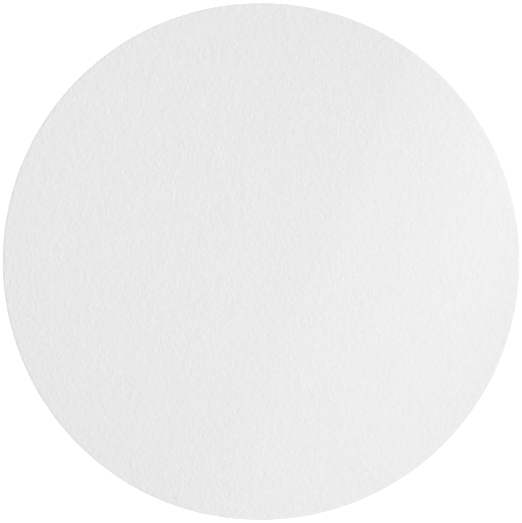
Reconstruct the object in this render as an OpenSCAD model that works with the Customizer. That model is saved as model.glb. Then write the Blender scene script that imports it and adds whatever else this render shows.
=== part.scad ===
// Round disc of laboratory filter paper: one sheet of felted cellulose, cut out by a round die.
// The disc lies flat. Its underside is on Z = 0, and its centre is on the Z axis.

/* [Disc] */
// Diameter of the disc across its cut edge
disc_d = 110; // [20:1:600]
// Thickness of the paper, from the underside to the upper face
paper_t = 0.18; // [0.10:0.01:1.50]

/* [Cut edge] */
// Width of the sloping band around the rim that the die pressed down as it cut
press_w = 0.10; // [0.05:0.05:1.00]
// Depth of that band below the upper face, at the cut
press_drop = 0.02; // [0.01:0.01:0.08]

/* [Hidden] */
// Radius of the cut edge
disc_r = disc_d / 2;
// Radius where the flat upper face ends and the pressed band begins
flat_r = disc_r - press_w;
// Height of the cut edge's upright wall
cut_h = paper_t - press_drop;

// Half of the disc's section: a flat underside, an upright cut,
// the pressed band sloping up and in, and a flat upper face
module half_section() {
    polygon([
        [0, 0],
        [disc_r, 0],
        [disc_r, cut_h],
        [flat_r, paper_t],
        [0, paper_t]
    ]);
}

// The paper itself, plain white and the same all through
module paper_disc() {
    color([0.92, 0.92, 0.92]) rotate_extrude($fn = 180) half_section();
}

paper_disc();
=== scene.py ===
"""A disc of laboratory filter paper, lying face up on a pale table in soft studio light.

The disc is one limp sheet of felted cellulose. It is worked out below as one closed mesh that replaces the
flat CAD solid: a barely visible bend, cockles a few hundredths of a millimetre high, a felted relief, and a
rim that the cutting die has pressed down. Everything is in metres.
"""

from itertools import combinations
from math import cos, pi, radians, sin

import bpy
import numpy as np
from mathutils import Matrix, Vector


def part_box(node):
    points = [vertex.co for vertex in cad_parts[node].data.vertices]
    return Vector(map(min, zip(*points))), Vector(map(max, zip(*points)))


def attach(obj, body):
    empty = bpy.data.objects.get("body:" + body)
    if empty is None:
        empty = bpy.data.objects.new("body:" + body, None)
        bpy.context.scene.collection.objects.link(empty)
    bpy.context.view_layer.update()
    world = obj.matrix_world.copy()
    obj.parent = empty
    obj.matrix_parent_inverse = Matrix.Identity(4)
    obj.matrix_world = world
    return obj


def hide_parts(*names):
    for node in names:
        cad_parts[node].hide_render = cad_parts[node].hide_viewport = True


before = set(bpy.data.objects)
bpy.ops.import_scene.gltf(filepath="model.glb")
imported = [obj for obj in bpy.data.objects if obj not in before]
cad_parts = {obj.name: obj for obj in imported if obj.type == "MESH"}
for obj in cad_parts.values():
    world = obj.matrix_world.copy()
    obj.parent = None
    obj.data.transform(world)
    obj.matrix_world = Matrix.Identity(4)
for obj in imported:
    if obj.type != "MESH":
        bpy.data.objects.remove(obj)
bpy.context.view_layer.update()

MM = 0.001

# ---------------------------------------------------------------- sizes, from the frame
disc_low, disc_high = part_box("paper_disc")
DISC_R = max(disc_high.x, disc_high.y)
PAPER_T = disc_high.z - disc_low.z

# the rim as the die left it
PRESS_W = 0.10 * MM  # width of the band that the die pressed down
PRESS_DROP = 0.02 * MM  # how far it slopes down to the cut
EDGE_FUZZ = 0.012 * MM  # how far loose fibre ends make the cut stray from a true circle
FUZZ_SEED = 11
CREASE = radians(50)  # faces that meet at more than this look sharp

# the sheet's own shape
RIDGES = (  # a narrow and a broad one: apex in disc radii, turn and spread in radians, and slope
    ((0.673, 1.0), -0.416, 0.039, 0.0146),
    ((1.021, 1.112), -0.26, 0.308, 0.0555),
)
SAG = 5.0 * MM  # paper nearer the table than this sinks more than half of the way to it
COCKLE_H = 0.009 * MM  # usual height of the wide shallow cockles over the bend, and depth below it
COCKLE_WAVES = (9 * MM, 30 * MM)  # their shortest and longest wave
FELT_H = 0.0015 * MM  # height of the coarsest lumps of felt
FELT_WAVES = (2.0 * MM, 5 * MM)  # their shortest and longest wave

# the nap, the felt's finest relief, which is bump. Single fibres, about 0.02 mm thick, are too fine to
# show, so each strand here is a bundle of them
LAYS = 4  # directions in which the strands lie
STRAND_GAP = 0.70 * MM  # from one strand to the next beside it
STRAND_LENGTH = 2.0  # how many times longer than that a strand is
NAP_H = 0.069 * MM  # height that the nap's 0 to 1 stands for
CALM_TURN = radians(-17)  # direction, from +X, of the side where the nap lies flatter
CALM_FROM, CALM_TO = 0.0, 1.1 * DISC_R  # it begins to flatten and stops at these distances that way
CALM_DEPTH = 0.63  # share of its height that is left there
CLOUD_SIZE = 1.0 * MM  # from one pale patch of the base colour to the next

RIM_TRIALS = 60  # points of the rim that are tried as feet
GRID = 214  # cells across each face of the sheet: 0.5 mm each
RIM_STEPS = 4  # points from the flat face over the pressed band to the cut

# the table, the light and the camera
TABLE_SIZE = 8.0
TABLE_DROP = 0.01 * MM  # of the table below the sheet's lowest point, so that the two don't mix
TABLE_LIFT = 0.7  # of full white, added to what the eye sees of the table beside the disc
LIFT_FROM, LIFT_TO = 2 * DISC_R, 0.5  # distances from the centre where it begins to rise and is full
LAMPS = (  # name, azimuth, elevation, distance, size and share of the light, as softbox() takes them
    ("key", -3, 28, 1.93, 0.56, 0.666),
    ("fill", 171, 71.9, 0.158, 0.05, 0.097),
)
WALL_LIGHT = 0.245  # share of the light that comes from all round
WALL_WHITE = 1.02  # strength of the walls to the eye: white, and a hair over so that it comes out even
LENS = 200.0
SENSOR = 36.0
FRAME_SHARE = 1.0111  # height of the view over the disc's diameter
EYE_X, EYE_Y = -0.12 * MM, 0.015 * MM  # how far the camera is off the disc's axis


# ---------------------------------------------------------------- the sheet
def waves(x, y, seed, count, lengths):
    """A random smooth field of about unit height: the sum of count cosine waves that run in all
    directions, with any phase, and with lengths spread evenly in ratio between the two given."""
    rng = np.random.default_rng(seed)
    turn = rng.uniform(0, 2 * pi, count)
    length = lengths[0] * (lengths[1] / lengths[0]) ** rng.uniform(0, 1, count)
    phase = rng.uniform(0, 2 * pi, count)
    total = np.zeros_like(x)
    for t, w, p in zip(turn, length, phase):
        total += np.cos(2 * pi / w * (x * cos(t) + y * sin(t)) + p)
    return total / np.sqrt(count / 2)


def bend(x, y, apex, turn, spread, slope):
    """A cone's bend, which flat paper takes without stretching. The apex is outside the disc, in disc radii
    from its centre, and the ridge runs from it at this turn from -Y. At distance rho from the apex and
    angle phi from the ridge, the height is minus slope times spread times rho times
    ln cosh(phi / spread): two nearly flat wings that meet in a rounded ridge."""
    dx = x - apex[0] * DISC_R
    dy = y - apex[1] * DISC_R
    phi = np.arctan2(dx, -dy) - turn
    return -slope * spread * np.hypot(dx, dy) * np.log(np.cosh(phi / spread))


def sheet_height(x, y):
    """The sheet's own shape: the bends, so slight that they add up, with the cockles on them."""
    cockles = COCKLE_H * waves(x, y, seed=3, count=60, lengths=COCKLE_WAVES)
    return sum(bend(x, y, *ridge) for ridge in RIDGES) + cockles


def rest_plane():
    """The plane that the bent sheet comes to rest on, as its slopes along x and y and its height at the
    centre. It passes through three points of the rim, lies nowhere above the rim, and of all such planes
    is the highest under the centre, where the weight acts."""
    rounding = 1e-9
    angle = np.linspace(0, 2 * pi, RIM_TRIALS, endpoint=False)
    x, y = DISC_R * np.cos(angle), DISC_R * np.sin(angle)
    z = sheet_height(x, y)
    rim = np.stack([x, y, np.ones_like(x)], 1)
    threes = np.array(list(combinations(range(RIM_TRIALS), 3)))
    planes = np.linalg.solve(rim[threes], z[threes][:, :, None])[:, :, 0]
    under = (z - planes @ rim.T).min(1) > -rounding
    return planes[under][planes[under, 2].argmax()]


def settled(x, y):
    """Height of the sheet's underside above the table as it lies at rest. It stands on its rest plane, and
    where its height h is small it sags to h squared over (h + SAG)."""
    slope_x, slope_y, centre = rest_plane()
    h = sheet_height(x, y) - (slope_x * x + slope_y * y + centre)
    h = h - min(h.min(), 0)
    return h * h / (h + SAG)


def disc_grid(cells):
    """A square grid of (cells + 1) squared points drawn onto the unit disc. A point at the larger of |a|
    and |b| from the square's centre goes to that distance on the disc, and its place along the square's
    side becomes an angle. Gives x, y and the four corners of each cell, anticlockwise from above."""
    a, b = np.meshgrid(np.linspace(-1, 1, cells + 1), np.linspace(-1, 1, cells + 1))
    a, b = a.ravel(), b.ravel()
    wide = np.abs(a) > np.abs(b)
    r = np.where(wide, a, b)
    part = np.divide(np.where(wide, b, a), r, out=np.zeros_like(r), where=r != 0)
    angle = np.where(wide, pi / 4 * part, pi / 2 - pi / 4 * part)
    row, column = np.divmod(np.arange(cells * cells), cells)
    corner = row * (cells + 1) + column
    faces = np.stack([corner, corner + 1, corner + cells + 2, corner + cells + 1], 1)
    return r * np.cos(angle), r * np.sin(angle), faces


def grid_rim(cells):
    """The grid's outer points in order, anticlockwise from its first corner."""
    side = np.arange(cells)
    n = cells + 1
    return np.concatenate([side, side * n + cells, cells * n + cells - side, (cells - side) * n])


def rim_profile(steps):
    """Radius and height, above the underside, of the rows between the flat upper face and the underside.
    The pressed band drops as the square of the way across it, and the cut falls straight down."""
    across = np.linspace(0, 1, steps)[1:]
    radius = DISC_R - PRESS_W * (1 - across)
    height = PAPER_T - PRESS_DROP * across**2
    return radius, height


def paper_sheet():
    """The whole sheet as one closed mesh. The upper face and the underside are the same disc grid, and rows
    of faces join their rims over the pressed band and down the cut. Each point stands at the sheet's
    height there plus its own height through the paper."""
    ux, uy, cells = disc_grid(GRID)
    rim = grid_rim(GRID)
    flat_r = DISC_R - PRESS_W
    band_r, band_h = rim_profile(RIM_STEPS)
    count, ring, rows = len(ux), len(rim), len(band_r)

    rng = np.random.default_rng(FUZZ_SEED)
    fuzz = rng.normal(0, EDGE_FUZZ, ring)
    fuzz = (fuzz + np.roll(fuzz, 1) + np.roll(fuzz, -1)) / np.sqrt(3)
    part = np.linspace(0, 1, rows)[:, None] ** 2
    x = np.concatenate([ux * flat_r, (ux[rim] * (band_r[:, None] + fuzz * part)).ravel(), ux * DISC_R])
    y = np.concatenate([uy * flat_r, (uy[rim] * (band_r[:, None] + fuzz * part)).ravel(), uy * DISC_R])
    through = np.concatenate([np.full(count, PAPER_T), np.repeat(band_h, ring), np.zeros(count)])

    felt = FELT_H * waves(x, y, seed=5, count=160, lengths=FELT_WAVES)
    z = settled(x, y) + through + felt * (2 * through / PAPER_T - 1)
    z -= z.min()

    under = count + rows * ring
    loops = [rim] + [count + i * ring + np.arange(ring) for i in range(rows)] + [under + rim]
    walls = []
    for upper, lower in zip(loops, loops[1:]):
        walls.append(np.stack([upper, lower, np.roll(lower, -1), np.roll(upper, -1)], 1))
    walls = np.concatenate(walls)
    faces = np.concatenate([cells, walls, under + cells[:, ::-1]])

    mesh = bpy.data.meshes.new("filter_paper_sheet")
    mesh.from_pydata(np.stack([x, y, z + disc_low.z], 1), [], faces)
    mesh.shade_smooth()
    mesh.set_sharp_from_angle(angle=CREASE)
    lay_out(mesh, x, y, through, len(cells) + len(walls))
    mesh.update()
    sheet = bpy.data.objects.new("filter_paper_sheet", mesh)
    bpy.context.scene.collection.objects.link(sheet)
    return sheet


def lay_out(mesh, x, y, through, upper_faces):
    """The map that finished maps are drawn on: the upper face, with the cut as a thin ring round it, is a
    large disc in one corner, and the underside is a smaller disc in the other. The ring is ring_share
    times as wide as the cut is high."""
    margin, upper_r, under_r = 0.004, 0.34, 0.235
    ring_share = 2
    tiny = 1e-9  # keeps the centre from dividing by zero
    r = np.hypot(x, y)
    reach = DISC_R + 2 * ring_share * PAPER_T
    ring = ring_share * (PAPER_T - through) * (r > DISC_R - PRESS_W / 2)
    out = (r + ring) / np.maximum(r, tiny) / reach
    upper = np.stack([x * out, y * out], 1) * upper_r + margin + upper_r
    under = 1 - margin - under_r + np.stack([-x, y], 1) / reach * under_r
    corner = np.empty(len(mesh.loops), np.int32)
    mesh.loops.foreach_get("vertex_index", corner)
    first = np.arange(len(corner)) < 4 * upper_faces
    uv = np.where(first[:, None], upper[corner], under[corner])
    mesh.uv_layers.new(name="OFBake").uv.foreach_set("vector", uv.astype(np.float32).ravel())


# ---------------------------------------------------------------- materials
def colour(hex_code):
    """A colour written as sRGB hex, turned to linear."""
    parts = [int(hex_code[i : i + 2], 16) / 255 for i in (1, 3, 5)]
    return [c / 12.92 if c <= 0.04045 else ((c + 0.055) / 1.055) ** 2.4 for c in parts] + [1.0]


def node(tree, kind, links=(), **settings):
    """Adds a node. links are pairs of one of its inputs and the socket that feeds it. settings are its
    properties or the values of its inputs, by name."""
    made = tree.nodes.new("ShaderNode" + kind)
    for name, value in settings.items():
        if hasattr(made, name):
            setattr(made, name, value)
        else:
            made.inputs[name.replace("_", " ")].default_value = value
    for where, source in links:
        tree.links.new(source, made.inputs[where])
    return made


def new_material(name):
    """An empty material of that name, and its node tree."""
    material = bpy.data.materials.new(name)
    material.use_nodes = True
    material.node_tree.nodes.clear()
    return material, material.node_tree


def strands(tree, place, turn):
    """Strands of fibre side by side, all lying at this angle from Y, as a height from 0 to 1: a noise that
    is longer along them than across. A lay is moved by as many metres as its angle has radians, so that no
    two repeat each other."""
    lie = {"Location": (turn, 0, 0), "Rotation": (0, 0, turn), "Scale": (1, STRAND_LENGTH, 1)}
    along = node(tree, "Mapping", [("Vector", place)], vector_type="TEXTURE", **lie)
    noise = node(tree, "TexNoise", [("Vector", along.outputs[0])], Scale=1 / STRAND_GAP, Detail=1.0)
    return noise.outputs["Fac"]


def felted_nap(tree, place):
    """The height of the nap, from 0 to 1: lays of strands across each other, turned evenly from one to the
    next through half a turn, with whichever strand lies highest showing at the surface."""
    lays = [strands(tree, place, pi * (lay + 0.5) / LAYS) for lay in range(LAYS)]
    surface = lays[0]
    for lay in lays[1:]:
        surface = node(tree, "Math", [(0, surface), (1, lay)], operation="MAXIMUM").outputs[0]
    return surface


def filter_paper():
    """Unglazed filter paper: bleached cellulose fibres, felted wet and dried without pressing smooth. It
    looks chalky and dead matt, with a fine nap that raking light picks out as short streaks."""
    material, tree = new_material("felted_cellulose")
    place = node(tree, "TexCoord").outputs["Object"]

    # the nap, which lies a little flatter on one side
    out = node(tree, "VectorMath", [(0, place)], operation="DOT_PRODUCT")
    out.inputs[1].default_value = (cos(CALM_TURN), sin(CALM_TURN), 0)
    calm = {"From_Min": CALM_FROM, "From_Max": CALM_TO, "To_Min": 1.0, "To_Max": CALM_DEPTH}
    source = [("Value", out.outputs["Value"])]
    depth = node(tree, "MapRange", source, interpolation_type="SMOOTHSTEP", **calm)
    relief = [("Height", felted_nap(tree, place)), ("Strength", depth.outputs[0])]
    bump = node(tree, "Bump", relief, Distance=NAP_H)

    # the base colour: paler and darker in random patches about a millimetre apart
    clouds = node(tree, "TexNoise", [("Vector", place)], Scale=1 / CLOUD_SIZE, Detail=2.0, Roughness=0.6)
    patchy_tone = node(tree, "Mix", [("Factor", clouds.outputs["Fac"])], data_type="RGBA")
    patchy_tone.inputs["A"].default_value = colour("#E8E8E8")
    patchy_tone.inputs["B"].default_value = colour("#F0F0F0")

    links = [("Base Color", patchy_tone.outputs["Result"]), ("Normal", bump.outputs[0])]
    shader = node(tree, "BsdfPrincipled", links, Roughness=0.92, IOR=1.47)
    node(tree, "OutputMaterial", [("Surface", shader.outputs[0])])
    return material


def seen_by_eye(tree):
    """1 for what the camera sees, straight, in a gloss or through glass, and 0 for what lights the disc."""
    path = node(tree, "LightPath").outputs
    ways = [(0, path["Is Camera Ray"]), (1, path["Is Glossy Ray"])]
    straight = node(tree, "Math", ways, operation="MAXIMUM")
    ways = [(0, straight.outputs[0]), (1, path["Is Transmission Ray"])]
    return node(tree, "Math", ways, operation="MAXIMUM").outputs[0]


def pale_table():
    """A matt white table. It takes the disc's shadow, and what the eye sees of it is lifted to plain white:
    a little beside the disc, where the shadow lies, and fully from half a metre out."""
    material, tree = new_material("pale_table")
    place = node(tree, "TexCoord").outputs["Object"]
    away = node(tree, "VectorMath", [(0, place)], operation="LENGTH").outputs["Value"]
    rise = {"From_Min": LIFT_FROM, "From_Max": LIFT_TO, "To_Min": TABLE_LIFT, "To_Max": 1.0}
    lift = node(tree, "MapRange", [("Value", away)], interpolation_type="SMOOTHSTEP", **rise)
    strength = node(tree, "Math", [(0, lift.outputs[0]), (1, seen_by_eye(tree))], operation="MULTIPLY")
    glow = node(tree, "Emission", [("Strength", strength.outputs[0])])
    white = node(tree, "BsdfDiffuse", Color=colour("#EDEDED"))
    both = node(tree, "AddShader", [(0, white.outputs[0]), (1, glow.outputs[0])])
    node(tree, "OutputMaterial", [("Surface", both.outputs[0])])
    return material


def studio_walls():
    """The world: soft light from all round, and plain white to the eye."""
    world = bpy.data.worlds.new("studio")
    world.use_nodes = True
    tree = world.node_tree
    tree.nodes.clear()
    strength = node(tree, "MapRange", [("Value", seen_by_eye(tree))], To_Min=WALL_LIGHT, To_Max=WALL_WHITE)
    walls = node(tree, "Background", [("Strength", strength.outputs[0])], Color=colour("#FFFFFF"))
    node(tree, "OutputWorld", [("Surface", walls.outputs[0])])
    bpy.context.scene.world = world


# ---------------------------------------------------------------- the studio
def softbox(name, azimuth, elevation, distance, size, share):
    """A square lamp that faces the disc's centre, with its angles in degrees. share is the part of a level
    white surface's full brightness that it gives: one of P watts at distance d gives P times the sine of
    its elevation over the square of pi d."""
    data = bpy.data.lights.new(name, "AREA")
    data.shape = "SQUARE"
    data.size = size
    data.energy = share * (pi * distance) ** 2 / sin(radians(elevation))
    lamp = bpy.data.objects.new(name, data)
    a, e = radians(azimuth), radians(elevation)
    lamp.location = (distance * cos(e) * cos(a), distance * cos(e) * sin(a), distance * sin(e))
    lamp.rotation_euler = (0, pi / 2 - e, a)
    lamp.visible_camera = False
    bpy.context.scene.collection.objects.link(lamp)


def studio():
    """The table, a level square under the disc, then the lamps and the walls."""
    mesh = bpy.data.meshes.new("table")
    half, level = TABLE_SIZE / 2, disc_low.z - TABLE_DROP
    corners = [(-half, -half, level), (half, -half, level), (half, half, level), (-half, half, level)]
    mesh.from_pydata(corners, [], [(0, 1, 2, 3)])
    mesh.materials.append(pale_table())
    table = bpy.data.objects.new("table", mesh)
    bpy.context.scene.collection.objects.link(table)
    for lamp in LAMPS:
        softbox(*lamp)
    studio_walls()


def camera():
    """Looks straight down, with the disc almost filling the view."""
    data = bpy.data.cameras.new("camera")
    data.lens = LENS
    data.sensor_width = SENSOR
    eye = bpy.data.objects.new("camera", data)
    height = 2 * DISC_R * FRAME_SHARE * LENS / SENSOR
    eye.location = (EYE_X, EYE_Y, height + disc_high.z)
    data.clip_start = height / 100
    bpy.context.scene.collection.objects.link(eye)
    bpy.context.scene.camera = eye


# ---------------------------------------------------------------- the scene
camera()
sheet = paper_sheet()
sheet.data.materials.append(filter_paper())
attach(sheet, "root")
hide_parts("paper_disc")

studio()
bpy.context.scene.view_settings.view_transform = "Standard"
